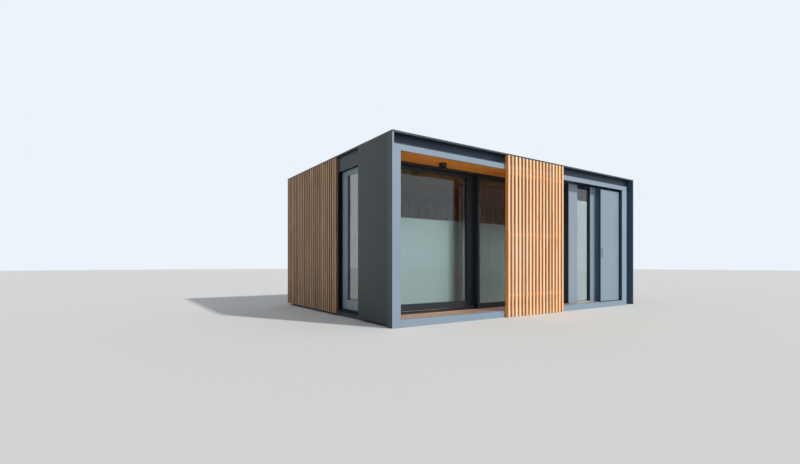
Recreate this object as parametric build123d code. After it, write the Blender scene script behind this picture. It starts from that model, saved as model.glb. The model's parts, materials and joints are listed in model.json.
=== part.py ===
from build123d import *
import os

os.makedirs("parts", exist_ok=True)

# Garden summerhouse with a flat roof, a light frame round its open front, a recessed
# porch with sliding glazing, a slatted screen, a stepped bay with a store door, and
# slatted sides. All values are millimetres. Pieces are drawn from the front left corner
# on the ground: +X along the front, +Y towards the back, +Z up.

# Overall size
WIDTH = 5800.0
DEPTH = 3810.0
HEIGHT = 2500.0

# Gaps shared by the fits
MOVING_GAP = 8.0
SEAT_GAP = 0.3
PIN_GAP = 0.05

# Floor
BASE_HEIGHT = 78.0
FLOOR_BOARD = 22.0
DECK_GROOVE_PITCH = 112.0
DECK_GROOVE_WIDTH = 5.0
DECK_GROOVE_DEPTH = 8.0

# Walls and what clads them
CLADDING_DEPTH = 60.0
WALL = 120.0
CLADDING_RISE = 40.0
PANEL_GAP = 3.0

# Thin plates that edge the front and the roof
EDGE_PLATE = 25.0
EDGE_PLATE_DEPTH = 120.0
ROOF_TRIM_WIDTH = 140.0
TRIM_UPSTAND = 10.0

# Front frame
FRAME_DEPTH = 100.0
LEFT_JAMB = 105.0
RIGHT_JAMB = 166.0
RIGHT_STRIP = 233.0
BEAM_HEIGHT = 81.0
BASE_RAIL_HEIGHT = 95.0
FRAME_EDGE_RADIUS = 3.0
BEAM_SKIN = 12.0
FASCIA_HEIGHT = 140.0
FASCIA = 20.0

# Ceiling and porch soffit
SOFFIT_BOARD = 18.0
SOFFIT_GROOVE_PITCH = 90.0
SOFFIT_GROOVE_WIDTH = 6.0
SOFFIT_GROOVE_DEPTH = 6.0

# Slats
BATTEN_WIDTH = 45.0
BATTEN_SPACE = 37.5
BATTEN_CHAMFER = 3.0

# Slatted screen in front of the porch
SCREEN_START = 2055.0
SCREEN_WIDTH = 1366.0
SCREEN_DEPTH = 60.0
SCREEN_SLAT_DEPTH = 25.0
SCREEN_FOOT = 5.0
SCREEN_HEAD_GAP = 18.0
SCREEN_RAIL_HEIGHT = 45.0
SCREEN_RAIL_INSET = 29.0
SCREEN_LOW_RAIL = 310.0

# Corner panels and the tall side window
CORNER_PANEL_END = 893.0
WINDOW_WIDTH = 732.0
WINDOW_HEADER = 9.0
HEADER_SETBACK = 40.0
SURROUND = 35.0
WINDOW_SETBACK = 105.0
WINDOW_FRAME_DEPTH = 60.0
WINDOW_FRAME_MEMBER = 80.0
WINDOW_FRAME_HEAD = 20.0
SASH_MEMBER = 85.0
SASH_HEAD = 45.0
SASH_DEPTH = 46.0
SASH_SETBACK = 6.0
GLASS = 24.0
BEAD_WIDTH = 12.0
BEAD_DEPTH = 12.0

# Porch glazing: a fixed light in the outer track and a sliding leaf in the inner one
TRACK_FRONT = 440.0
TRACK_DEPTH = 165.0
TRACK_HEAD = 30.0
TRACK_SILL = 12.0
TRACK_RAIL = 10.0
TRACK_RAIL_WIDTH = 6.0
SILL_NOSE = 3.0
PORCH_POST = 60.0
FIXED_START = 1916.0
FIXED_SETBACK = 3.0
FIXED_DEPTH = 87.0
FIXED_STILE = 44.0
FIXED_TOP_RAIL = 34.0
FIXED_BOTTOM_RAIL = 60.0
LEAF_SETBACK = 100.0
LEAF_DEPTH = 57.0
LEAF_LOCK_STILE = 90.0
LEAF_MEETING_STILE = 190.0
LEAF_TOP_RAIL = 32.0
LEAF_BOTTOM_RAIL = 90.0
LEAF_TONGUE_WIDTH = 8.0
LEAF_TONGUE_RISE = 22.0
ROLLER_RADIUS = 11.0
ROLLER_WIDTH = 8.0
ROLLER_AXLE_RADIUS = 4.0
ROLLER_POCKET_GAP = 3.0
ROLLER_INSET = 220.0
PULL_LENGTH = 400.0
PULL_RADIUS = 8.0
PULL_REACH = 32.0
PULL_LEVEL = 950.0

# Stepped bay beside the porch
BAY_FRONT = 160.0
BAY_WALL = 100.0
BAY_SIDE = 60.0
BAY_LEFT_PANEL = 261.0
BAY_GLASS_WIDTH = 406.0
BAY_RIGHT_PANEL = 177.0
BAY_WINDOW_SETBACK = 20.0
BAY_WINDOW_DEPTH = 60.0
BAY_WINDOW_MEMBER = 20.0

# Store door at the right of the bay
DOOR_SETBACK = 55.0
DOOR_BAY = 651.0
DOOR = 44.0
DOOR_STOP_GAP = 5.0
DOOR_HINGE_GAP = 14.0
DOOR_LATCH_GAP = 2.0
DOOR_POST = 60.0
DOOR_HEAD = 25.0
DOOR_HEAD_GAP = 8.0
HINGE_INSET = 212.0
KNUCKLE_RADIUS = 6.0
KNUCKLE_LENGTH = 40.0
KNUCKLE_REACH = 8.0
KNUCKLE_SPLIT = 0.5
HINGE_PIN_RADIUS = 3.0
HINGE_PLATE = 2.0
HINGE_PLATE_REACH = 44.0
LATCH_PULL_LENGTH = 160.0
LATCH_PULL_WIDTH = 14.0
LATCH_PULL_REACH = 22.0
LATCH_PULL_LEVEL = 1020.0
LATCH_PULL_INSET = 30.0
LATCH_PULL_GRIP = 8.0

# Surface lights under the soffit
LIGHT_RADIUS = 55.0
LIGHT_HEIGHT = 60.0
LIGHT_RIM = 5.0
LIGHT_MOUTH = 22.0
LIGHT_OFFSET = 1010.0
LIGHT_BOARD = 2.5

# Back of the house
BACK_PANEL_COUNT = 5

# Levels that follow from the sizes above
FLOOR_TOP = BASE_HEIGHT + FLOOR_BOARD
ROOF_UNDERSIDE = HEIGHT - EDGE_PLATE
BEAM_TOP = ROOF_UNDERSIDE - FASCIA_HEIGHT
BEAM_BOTTOM = BEAM_TOP - BEAM_HEIGHT
SOFFIT_BOTTOM = BEAM_BOTTOM
SOFFIT_TOP = SOFFIT_BOTTOM + SOFFIT_BOARD
CLADDING_TOP = ROOF_UNDERSIDE

# Positions across the house
WALL_OUT_LEFT = CLADDING_DEPTH
WALL_IN_LEFT = CLADDING_DEPTH + WALL
WALL_OUT_RIGHT = WIDTH - CLADDING_DEPTH
WALL_IN_RIGHT = WALL_OUT_RIGHT - WALL
JAMB_INNER_LEFT = EDGE_PLATE + LEFT_JAMB
JAMB_OUTER_RIGHT = WIDTH - EDGE_PLATE - RIGHT_STRIP
JAMB_INNER_RIGHT = JAMB_OUTER_RIGHT - RIGHT_JAMB
BAY_STEP = JAMB_INNER_RIGHT - DOOR_BAY
BAY_GLASS_END = BAY_STEP - BAY_RIGHT_PANEL
BAY_GLASS_START = BAY_GLASS_END - BAY_GLASS_WIDTH
PORCH_RIGHT = BAY_GLASS_START - BAY_LEFT_PANEL
PORCH_LEFT = WALL_IN_LEFT

# Positions from front to back
WALL_OUT_BACK = DEPTH - CLADDING_DEPTH
WALL_IN_BACK = WALL_OUT_BACK - WALL
TRACK_BACK = TRACK_FRONT + TRACK_DEPTH
FASCIA_BACK = FRAME_DEPTH + FASCIA
BAY_BACK = BAY_FRONT + BAY_WALL
WINDOW_START = CORNER_PANEL_END
WINDOW_END = WINDOW_START + WINDOW_WIDTH
DOOR_BACK = DOOR_SETBACK + DOOR
STOP_FACE = DOOR_BACK + DOOR_STOP_GAP


def block(x, y, z):
    """A block between the low and high value of each of its three spans."""
    size = (x[1] - x[0], y[1] - y[0], z[1] - z[0])
    corner = (Align.MIN, Align.MIN, Align.MIN)
    return Pos(x[0], y[0], z[0]) * Box(*size, align=corner)


def together(pieces):
    """Several separate solids kept as one node."""
    return Compound(children=list(pieces))


def ring_facing_front(x, z, y, left, right, top, bottom):
    """A rectangular frame that faces the front, with a width for each member."""
    outer = block(x, y, z)
    hole_x = (x[0] + left, x[1] - right)
    hole_z = (z[0] + bottom, z[1] - top)
    return outer - block(hole_x, y, hole_z)


def ring_facing_side(y, z, x, member, top):
    """A rectangular frame that faces the side, with equal members and its own top."""
    outer = block(x, y, z)
    hole_y = (y[0] + member, y[1] - member)
    hole_z = (z[0] + member, z[1] - top)
    return outer - block(x, hole_y, hole_z)


def bead_facing_front(x, z, back):
    """A glazing bead round an opening in the front, up to the glass behind it."""
    y = (back - BEAD_DEPTH, back)
    hole_x = (x[0] + BEAD_WIDTH, x[1] - BEAD_WIDTH)
    hole_z = (z[0] + BEAD_WIDTH, z[1] - BEAD_WIDTH)
    return block(x, y, z) - block(hole_x, y, hole_z)


def bead_facing_side(y, z, back):
    """A glazing bead round an opening in the left side, up to the glass behind it."""
    x = (back - BEAD_DEPTH, back)
    hole_y = (y[0] + BEAD_WIDTH, y[1] - BEAD_WIDTH)
    hole_z = (z[0] + BEAD_WIDTH, z[1] - BEAD_WIDTH)
    return block(x, y, z) - block(x, hole_y, hole_z)


def slat_starts(start, end):
    """Where each slat of a run starts, with the spaces evened out over the run."""
    run = end - start - BATTEN_WIDTH
    spaces = round(run / (BATTEN_WIDTH + BATTEN_SPACE))
    return [start + run * index / spaces for index in range(spaces + 1)]


def grooved(board, starts, make_groove):
    """A board with a groove cut at each start."""
    for start in starts:
        board -= make_groove(start)
    return board


def groove_starts(first, last, pitch):
    """Where the grooves between boards lie, a whole pitch apart."""
    count = int((last - first) / pitch)
    return [first + pitch * (index + 1) for index in range(count)]


# Floor
def floor_base():
    return block((WALL_OUT_LEFT, WALL_OUT_RIGHT), (FASCIA_BACK, WALL_OUT_BACK), (0, BASE_HEIGHT))


def interior_floor():
    z = (BASE_HEIGHT, FLOOR_TOP)
    room = block((WALL_IN_LEFT, WALL_IN_RIGHT), (TRACK_BACK, WALL_IN_BACK), z)
    bay = block((PORCH_RIGHT + BAY_SIDE, WALL_IN_RIGHT), (BAY_BACK, TRACK_BACK), z)
    doorway_x = (BAY_STEP + DOOR_POST, JAMB_INNER_RIGHT - DOOR_POST)
    return room + bay + block(doorway_x, (FRAME_DEPTH, BAY_BACK), z)


def porch_deck():
    z = (BASE_HEIGHT, FLOOR_TOP)
    porch = block((PORCH_LEFT, PORCH_RIGHT), (FRAME_DEPTH, TRACK_BACK), z)
    deck = porch + block((PORCH_RIGHT, BAY_STEP), (FRAME_DEPTH, BAY_FRONT), z)
    starts = groove_starts(FRAME_DEPTH, TRACK_FRONT - DECK_GROOVE_PITCH / 2, DECK_GROOVE_PITCH)
    cut_x = (PORCH_LEFT, PORCH_RIGHT)
    cut_z = (FLOOR_TOP - DECK_GROOVE_DEPTH, FLOOR_TOP)
    return grooved(deck, starts, lambda y: block(cut_x, (y, y + DECK_GROOVE_WIDTH), cut_z))


# Front frame
def rounded_front(piece):
    """The piece with its two long front edges eased."""
    front = piece.faces().sort_by(Axis.Y)[0]
    return fillet(front.edges(), FRAME_EDGE_RADIUS)


def base_rail():
    x = (JAMB_INNER_LEFT, JAMB_INNER_RIGHT)
    return rounded_front(block(x, (0, FRAME_DEPTH), (0, BASE_RAIL_HEIGHT)))


def left_jamb():
    return rounded_front(block((EDGE_PLATE, JAMB_INNER_LEFT), (0, FRAME_DEPTH), (0, BEAM_BOTTOM)))


def right_jamb():
    x = (JAMB_INNER_RIGHT, JAMB_OUTER_RIGHT)
    return rounded_front(block(x, (0, FRAME_DEPTH), (0, BEAM_BOTTOM)))


def top_beam():
    """The beam, rebated behind its front skin for the ends of the soffit."""
    x = (EDGE_PLATE, JAMB_OUTER_RIGHT)
    beam = rounded_front(block(x, (0, FRAME_DEPTH), (BEAM_BOTTOM, BEAM_TOP)))
    rebate_x = (JAMB_INNER_LEFT, JAMB_INNER_RIGHT)
    return beam - block(rebate_x, (BEAM_SKIN, FRAME_DEPTH), (BEAM_BOTTOM, SOFFIT_TOP))


def front_fascia():
    x = (EDGE_PLATE, WIDTH - EDGE_PLATE)
    return block(x, (FRAME_DEPTH, FASCIA_BACK), (SOFFIT_TOP, ROOF_UNDERSIDE))


def return_panel():
    x = (JAMB_INNER_RIGHT, WIDTH - EDGE_PLATE)
    return block(x, (FRAME_DEPTH, FASCIA_BACK), (0, SOFFIT_TOP))


def edge_plates():
    y = (0, EDGE_PLATE_DEPTH)
    z = (0, ROOF_UNDERSIDE)
    left = block((0, EDGE_PLATE), y, z)
    return together([left, block((WIDTH - EDGE_PLATE, WIDTH), y, z)])


# Walls
def left_front_wall():
    x = (WALL_OUT_LEFT, WALL_IN_LEFT)
    return block(x, (FRAME_DEPTH, WINDOW_START), (BASE_HEIGHT, SOFFIT_BOTTOM))


def left_rear_wall():
    x = (WALL_OUT_LEFT, WALL_IN_LEFT)
    return block(x, (WINDOW_END, WALL_IN_BACK), (BASE_HEIGHT, SOFFIT_BOTTOM))


def right_wall():
    x = (WALL_IN_RIGHT, WALL_OUT_RIGHT)
    return block(x, (FASCIA_BACK, WALL_IN_BACK), (BASE_HEIGHT, SOFFIT_BOTTOM))


def back_wall():
    x = (WALL_OUT_LEFT, WALL_OUT_RIGHT)
    return block(x, (WALL_IN_BACK, WALL_OUT_BACK), (BASE_HEIGHT, SOFFIT_BOTTOM))


# Cladding
def corner_panels():
    y = (EDGE_PLATE_DEPTH + PANEL_GAP, CORNER_PANEL_END)
    z = (CLADDING_RISE, CLADDING_TOP)
    left = block((0, CLADDING_DEPTH), y, z)
    return together([left, block((WALL_OUT_RIGHT, WIDTH), y, z)])


def side_slats(x, start, end, outer_edge):
    """Upright slats along a side wall, eased on their outer edges."""
    slats = []
    for slat_start in slat_starts(start, end):
        y = (slat_start, slat_start + BATTEN_WIDTH)
        slat = block(x, y, (CLADDING_RISE, CLADDING_TOP))
        outer = slat.faces().sort_by(Axis.X)[outer_edge]
        slats.append(chamfer(outer.edges().filter_by(Axis.Z), BATTEN_CHAMFER))
    return together(slats)


def left_battens():
    return side_slats((0, CLADDING_DEPTH), WINDOW_END, DEPTH, 0)


def right_battens():
    return side_slats((WALL_OUT_RIGHT, WIDTH), CORNER_PANEL_END + BATTEN_SPACE, DEPTH, -1)


def back_panels():
    span = WALL_OUT_RIGHT - WALL_OUT_LEFT
    width = (span - PANEL_GAP * (BACK_PANEL_COUNT + 1)) / BACK_PANEL_COUNT
    panels = []
    for index in range(BACK_PANEL_COUNT):
        start = WALL_OUT_LEFT + PANEL_GAP + index * (width + PANEL_GAP)
        panels.append(block((start, start + width), (WALL_OUT_BACK, DEPTH), (CLADDING_RISE, CLADDING_TOP)))
    return together(panels)


# Roof
def roof_deck():
    x = (WALL_OUT_LEFT, WALL_OUT_RIGHT)
    return block(x, (FASCIA_BACK, WALL_OUT_BACK), (SOFFIT_TOP, ROOF_UNDERSIDE))


def roof_trim():
    z = (ROOF_UNDERSIDE, HEIGHT)
    inner_x = (ROOF_TRIM_WIDTH, WIDTH - ROOF_TRIM_WIDTH)
    inner_y = (ROOF_TRIM_WIDTH, DEPTH - ROOF_TRIM_WIDTH)
    return block((0, WIDTH), (0, DEPTH), z) - block(inner_x, inner_y, z)


def roof_membrane():
    x = (ROOF_TRIM_WIDTH, WIDTH - ROOF_TRIM_WIDTH)
    y = (ROOF_TRIM_WIDTH, DEPTH - ROOF_TRIM_WIDTH)
    return block(x, y, (ROOF_UNDERSIDE, HEIGHT - TRIM_UPSTAND))


# Soffit, ceiling and lights
def porch_soffit():
    z = (SOFFIT_BOTTOM, SOFFIT_TOP)
    soffit = block((WALL_OUT_LEFT, PORCH_RIGHT), (FASCIA_BACK, TRACK_BACK), z)
    soffit += block((JAMB_INNER_LEFT, PORCH_RIGHT), (BEAM_SKIN, FASCIA_BACK), z)
    starts = groove_starts(BEAM_SKIN, TRACK_FRONT - SOFFIT_GROOVE_PITCH / 2, SOFFIT_GROOVE_PITCH)
    cut_x = (PORCH_LEFT, PORCH_RIGHT)
    cut_z = (SOFFIT_BOTTOM, SOFFIT_BOTTOM + SOFFIT_GROOVE_DEPTH)
    return grooved(soffit, starts, lambda y: block(cut_x, (y, y + SOFFIT_GROOVE_WIDTH), cut_z))


def bay_soffit():
    z = (SOFFIT_BOTTOM, SOFFIT_TOP)
    over_bay = block((PORCH_RIGHT, WALL_OUT_RIGHT), (FASCIA_BACK, TRACK_BACK), z)
    return over_bay + block((PORCH_RIGHT, JAMB_INNER_RIGHT), (BEAM_SKIN, FASCIA_BACK), z)


def ceiling():
    x = (WALL_OUT_LEFT, WALL_OUT_RIGHT)
    return block(x, (TRACK_BACK, WALL_OUT_BACK), (SOFFIT_BOTTOM, SOFFIT_TOP))


def downlights():
    middle_x = (PORCH_LEFT + PORCH_RIGHT) / 2
    middle_y = BEAM_SKIN + SOFFIT_GROOVE_PITCH * LIGHT_BOARD + SOFFIT_GROOVE_WIDTH / 2
    mouth_radius = LIGHT_RADIUS - LIGHT_RIM
    lights = []
    for side in (-1, 1):
        can = Cylinder(LIGHT_RADIUS, LIGHT_HEIGHT, align=(Align.CENTER, Align.CENTER, Align.MAX))
        mouth = Cylinder(mouth_radius, LIGHT_MOUTH, align=(Align.CENTER, Align.CENTER, Align.MIN))
        can -= Pos(0, 0, -LIGHT_HEIGHT) * mouth
        lights.append(Pos(middle_x + side * LIGHT_OFFSET, middle_y, SOFFIT_BOTTOM) * can)
    return together(lights)


# Side window
def window_header():
    x = (HEADER_SETBACK, WALL_OUT_LEFT)
    z = (SOFFIT_BOTTOM - WINDOW_HEADER, CLADDING_TOP)
    return block(x, (WINDOW_START, WINDOW_END), z)


def window_surround():
    """The lining of the opening, its top hidden behind the header."""
    y = (WINDOW_START, WINDOW_END)
    x = (HEADER_SETBACK, WINDOW_SETBACK)
    lining = ring_facing_side(y, (BASE_HEIGHT, SOFFIT_BOTTOM), x, SURROUND, WINDOW_HEADER)
    header_z = (SOFFIT_BOTTOM - WINDOW_HEADER, SOFFIT_BOTTOM)
    return lining - block((HEADER_SETBACK, WALL_OUT_LEFT), y, header_z)


def window_frame():
    y = (WINDOW_START, WINDOW_END)
    x = (WINDOW_SETBACK, WINDOW_SETBACK + WINDOW_FRAME_DEPTH)
    z = (BASE_HEIGHT, SOFFIT_BOTTOM)
    return ring_facing_side(y, z, x, WINDOW_FRAME_MEMBER, WINDOW_FRAME_HEAD)


SASH_Y = (WINDOW_START + WINDOW_FRAME_MEMBER, WINDOW_END - WINDOW_FRAME_MEMBER)
SASH_Z = (BASE_HEIGHT + WINDOW_FRAME_MEMBER, SOFFIT_BOTTOM - WINDOW_FRAME_HEAD)
SASH_X = (WINDOW_SETBACK + SASH_SETBACK, WINDOW_SETBACK + SASH_SETBACK + SASH_DEPTH)
PANE_Y = (SASH_Y[0] + SASH_MEMBER, SASH_Y[1] - SASH_MEMBER)
PANE_Z = (SASH_Z[0] + SASH_MEMBER, SASH_Z[1] - SASH_HEAD)
PANE_FRONT = (SASH_X[0] + SASH_X[1] - GLASS) / 2 + BEAD_DEPTH / 2


def window_sash():
    sash = ring_facing_side(SASH_Y, SASH_Z, SASH_X, SASH_MEMBER, SASH_HEAD)
    return sash + bead_facing_side(PANE_Y, PANE_Z, PANE_FRONT)


def window_glass():
    return block((PANE_FRONT, PANE_FRONT + GLASS), PANE_Y, PANE_Z)


# Porch glazing
TRACK_Y = (TRACK_FRONT, TRACK_BACK)
TRACK_TOP = SOFFIT_BOTTOM - TRACK_HEAD
SILL_TOP = FLOOR_TOP + TRACK_SILL
RAIL_TOP = SILL_TOP + TRACK_RAIL
FIXED_Y = (TRACK_FRONT + FIXED_SETBACK, TRACK_FRONT + FIXED_SETBACK + FIXED_DEPTH)
FIXED_X = (FIXED_START, PORCH_RIGHT - PORCH_POST)
FIXED_Z = (SILL_TOP, TRACK_TOP)
LEAF_Y = (TRACK_FRONT + LEAF_SETBACK, TRACK_FRONT + LEAF_SETBACK + LEAF_DEPTH)
LEAF_X = (PORCH_LEFT + PORCH_POST + MOVING_GAP, FIXED_START + FIXED_STILE)
LEAF_Z = (RAIL_TOP + MOVING_GAP, TRACK_TOP - MOVING_GAP)
LEAF_MIDDLE = (LEAF_Y[0] + LEAF_Y[1]) / 2
TONGUE_Y = (LEAF_MIDDLE - LEAF_TONGUE_WIDTH / 2, LEAF_MIDDLE + LEAF_TONGUE_WIDTH / 2)
TONGUE_TOP = LEAF_Z[1] + LEAF_TONGUE_RISE


def porch_head():
    head = block((PORCH_LEFT, PORCH_RIGHT), TRACK_Y, (TRACK_TOP, SOFFIT_BOTTOM))
    channel_x = (PORCH_LEFT + PORCH_POST, PORCH_RIGHT - PORCH_POST)
    channel_y = (TONGUE_Y[0] - MOVING_GAP, TONGUE_Y[1] + MOVING_GAP)
    return head - block(channel_x, channel_y, (TRACK_TOP, TONGUE_TOP + MOVING_GAP))


def porch_sill():
    sill = block((PORCH_LEFT, PORCH_RIGHT), TRACK_Y, (FLOOR_TOP, SILL_TOP))
    nose = sill.edges().filter_by(Axis.X).group_by(Axis.Y)[0].sort_by(Axis.Z)[-1]
    sill = chamfer(nose, SILL_NOSE)
    rail_y = (LEAF_MIDDLE - TRACK_RAIL_WIDTH / 2, LEAF_MIDDLE + TRACK_RAIL_WIDTH / 2)
    rail_x = (PORCH_LEFT + PORCH_POST, PORCH_RIGHT - PORCH_POST)
    return sill + block(rail_x, rail_y, (SILL_TOP, RAIL_TOP))


def porch_posts():
    z = (SILL_TOP, TRACK_TOP)
    left = block((PORCH_LEFT, PORCH_LEFT + PORCH_POST), TRACK_Y, z)
    return together([left, block((PORCH_RIGHT - PORCH_POST, PORCH_RIGHT), TRACK_Y, z)])


FIXED_PANE_X = (FIXED_X[0] + FIXED_STILE, FIXED_X[1] - FIXED_STILE)
FIXED_PANE_Z = (FIXED_Z[0] + FIXED_BOTTOM_RAIL, FIXED_Z[1] - FIXED_TOP_RAIL)
FIXED_PANE_FRONT = (FIXED_Y[0] + FIXED_Y[1] - GLASS) / 2


def fixed_frame():
    stile = FIXED_STILE
    top = FIXED_TOP_RAIL
    frame = ring_facing_front(FIXED_X, FIXED_Z, FIXED_Y, stile, stile, top, FIXED_BOTTOM_RAIL)
    return frame + bead_facing_front(FIXED_PANE_X, FIXED_PANE_Z, FIXED_PANE_FRONT)


def fixed_glass():
    return block(FIXED_PANE_X, (FIXED_PANE_FRONT, FIXED_PANE_FRONT + GLASS), FIXED_PANE_Z)


# Sliding leaf
def roller_centres():
    """The middle of each roller, which rides on the rail of the sill."""
    z = RAIL_TOP + SEAT_GAP + ROLLER_RADIUS
    return [(x, LEAF_MIDDLE, z) for x in (LEAF_X[0] + ROLLER_INSET, LEAF_X[1] - ROLLER_INSET)]


LEAF_PANE_X = (LEAF_X[0] + LEAF_LOCK_STILE, LEAF_X[1] - LEAF_MEETING_STILE)
LEAF_PANE_Z = (LEAF_Z[0] + LEAF_BOTTOM_RAIL, LEAF_Z[1] - LEAF_TOP_RAIL)
LEAF_PANE_FRONT = LEAF_MIDDLE - GLASS / 2 + BEAD_DEPTH / 2


def leaf_frame():
    left = LEAF_LOCK_STILE
    right = LEAF_MEETING_STILE
    frame = ring_facing_front(LEAF_X, LEAF_Z, LEAF_Y, left, right, LEAF_TOP_RAIL, LEAF_BOTTOM_RAIL)
    frame += bead_facing_front(LEAF_PANE_X, LEAF_PANE_Z, LEAF_PANE_FRONT)
    frame += block(LEAF_X, TONGUE_Y, (LEAF_Z[1], TONGUE_TOP))
    for x, y, z in roller_centres():
        reach = ROLLER_RADIUS + ROLLER_POCKET_GAP
        half = ROLLER_WIDTH / 2 + ROLLER_POCKET_GAP
        frame -= block((x - reach, x + reach), (y - half, y + half), (LEAF_Z[0], z + reach))
    return frame


def leaf_glass():
    return block(LEAF_PANE_X, (LEAF_PANE_FRONT, LEAF_PANE_FRONT + GLASS), LEAF_PANE_Z)


def leaf_rollers():
    rollers = []
    for centre in roller_centres():
        wheel = Cylinder(ROLLER_RADIUS, ROLLER_WIDTH)
        axle = Cylinder(ROLLER_AXLE_RADIUS, ROLLER_WIDTH + 2 * ROLLER_POCKET_GAP)
        rollers.append(Pos(*centre) * Rot(90, 0, 0) * (wheel + axle))
    return together(rollers)


def leaf_pull():
    x = LEAF_X[0] + LEAF_LOCK_STILE / 2
    y = LEAF_Y[0] - PULL_REACH + PULL_RADIUS
    bar = Pos(x, y, PULL_LEVEL) * Cylinder(PULL_RADIUS, PULL_LENGTH)
    foot_level = PULL_LENGTH / 2 - 2 * PULL_RADIUS
    for z in (PULL_LEVEL - foot_level, PULL_LEVEL + foot_level):
        foot = Cylinder(PULL_RADIUS, LEAF_Y[0] - y, align=(Align.CENTER, Align.CENTER, Align.MIN))
        bar += Pos(x, y, z) * Rot(-90, 0, 0) * foot
    return bar


# Stepped bay
def bay_side_wall():
    x = (PORCH_RIGHT, PORCH_RIGHT + BAY_SIDE)
    return block(x, (BAY_BACK, TRACK_BACK), (BASE_HEIGHT, SOFFIT_BOTTOM))


def bay_panels():
    y = (BAY_FRONT, BAY_BACK)
    z = (BASE_HEIGHT, SOFFIT_BOTTOM)
    left = block((PORCH_RIGHT, BAY_GLASS_START), y, z)
    return together([left, block((BAY_GLASS_END, BAY_STEP), y, z)])


BAY_WINDOW_X = (BAY_GLASS_START, BAY_GLASS_END)
BAY_WINDOW_Y = (BAY_FRONT + BAY_WINDOW_SETBACK, BAY_FRONT + BAY_WINDOW_SETBACK + BAY_WINDOW_DEPTH)
BAY_WINDOW_Z = (FLOOR_TOP, SOFFIT_BOTTOM)


def bay_sill():
    return block(BAY_WINDOW_X, (BAY_FRONT, BAY_BACK), (BASE_HEIGHT, FLOOR_TOP))


def bay_window_frame():
    member = BAY_WINDOW_MEMBER
    return ring_facing_front(BAY_WINDOW_X, BAY_WINDOW_Z, BAY_WINDOW_Y, member, member, member, member)


def bay_window_glass():
    x = (BAY_WINDOW_X[0] + BAY_WINDOW_MEMBER, BAY_WINDOW_X[1] - BAY_WINDOW_MEMBER)
    z = (BAY_WINDOW_Z[0] + BAY_WINDOW_MEMBER, BAY_WINDOW_Z[1] - BAY_WINDOW_MEMBER)
    front = BAY_WINDOW_Y[0] + BAY_WINDOW_MEMBER / 2
    return block(x, (front, front + GLASS), z)


# Store door and what it hangs in
DOOR_X = (BAY_STEP + DOOR_LATCH_GAP, JAMB_INNER_RIGHT - DOOR_HINGE_GAP)
DOOR_Y = (DOOR_SETBACK, DOOR_BACK)
DOOR_FRAME_TOP = SOFFIT_BOTTOM - DOOR_HEAD
DOOR_Z = (FLOOR_TOP + MOVING_GAP, DOOR_FRAME_TOP - DOOR_HEAD_GAP)
HINGE_LEVELS = (DOOR_Z[0] + HINGE_INSET, (DOOR_Z[0] + DOOR_Z[1]) / 2, DOOR_Z[1] - HINGE_INSET)
HINGE_X = DOOR_X[1] + KNUCKLE_RADIUS
HINGE_Y = DOOR_SETBACK - KNUCKLE_REACH


def door_posts():
    y = (STOP_FACE, BAY_BACK)
    z = (BASE_HEIGHT, SOFFIT_BOTTOM)
    left = block((BAY_STEP, BAY_STEP + DOOR_POST), y, z)
    return together([left, block((JAMB_INNER_RIGHT - DOOR_POST, JAMB_INNER_RIGHT), y, z)])


def door_head():
    x = (BAY_STEP + DOOR_POST, JAMB_INNER_RIGHT - DOOR_POST)
    return block(x, (STOP_FACE, BAY_BACK), (DOOR_FRAME_TOP, SOFFIT_BOTTOM))


def bay_end_wall():
    x = (JAMB_INNER_RIGHT, WALL_IN_RIGHT)
    return block(x, (FASCIA_BACK, BAY_BACK), (BASE_HEIGHT, SOFFIT_BOTTOM))


def store_door():
    return block(DOOR_X, DOOR_Y, DOOR_Z)


def knuckle(low):
    """A hinge knuckle that stands on the given level, round the hinge line."""
    turned = Cylinder(KNUCKLE_RADIUS, KNUCKLE_LENGTH, align=(Align.CENTER, Align.CENTER, Align.MIN))
    return Pos(HINGE_X, HINGE_Y, low) * turned


def hinge_plates():
    """The lower half of each hinge, fixed to the jamb, with its pin standing up."""
    plates = []
    for level in HINGE_LEVELS:
        low = level - KNUCKLE_LENGTH
        plate_x = (JAMB_INNER_RIGHT - HINGE_PLATE, JAMB_INNER_RIGHT)
        plate = block(plate_x, (HINGE_Y, HINGE_Y + HINGE_PLATE_REACH), (low, level))
        web = block((HINGE_X, JAMB_INNER_RIGHT), (HINGE_Y, HINGE_Y + KNUCKLE_RADIUS / 2), (low, level))
        pin_align = (Align.CENTER, Align.CENTER, Align.MIN)
        pin = Cylinder(HINGE_PIN_RADIUS, KNUCKLE_LENGTH, align=pin_align)
        plates.append(knuckle(low) + plate + web + Pos(HINGE_X, HINGE_Y, level) * pin)
    return together(plates)


def hinge_leaves():
    """The upper half of each hinge, fixed to the door edge, bored for the pin."""
    leaves = []
    for level in HINGE_LEVELS:
        low = level + KNUCKLE_SPLIT
        high = low + KNUCKLE_LENGTH
        plate_x = (DOOR_X[1], DOOR_X[1] + HINGE_PLATE)
        plate = block(plate_x, (HINGE_Y, HINGE_Y + HINGE_PLATE_REACH), (low, high))
        bore_align = (Align.CENTER, Align.CENTER, Align.MIN)
        bore = Cylinder(HINGE_PIN_RADIUS + PIN_GAP, KNUCKLE_LENGTH, align=bore_align)
        leaves.append(knuckle(low) + plate - Pos(HINGE_X, HINGE_Y, low) * bore)
    return together(leaves)


def door_pull():
    low = LATCH_PULL_LEVEL - LATCH_PULL_LENGTH / 2
    start = DOOR_X[0] + LATCH_PULL_INSET
    x = (start, start + LATCH_PULL_WIDTH)
    grip = block(x, (DOOR_SETBACK - LATCH_PULL_REACH, DOOR_SETBACK), (low, low + LATCH_PULL_LENGTH))
    hollow_z = (low + LATCH_PULL_WIDTH, low + LATCH_PULL_LENGTH - LATCH_PULL_WIDTH)
    hollow_y = (DOOR_SETBACK - LATCH_PULL_REACH + LATCH_PULL_GRIP, DOOR_SETBACK)
    return grip - block(x, hollow_y, hollow_z)


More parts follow.
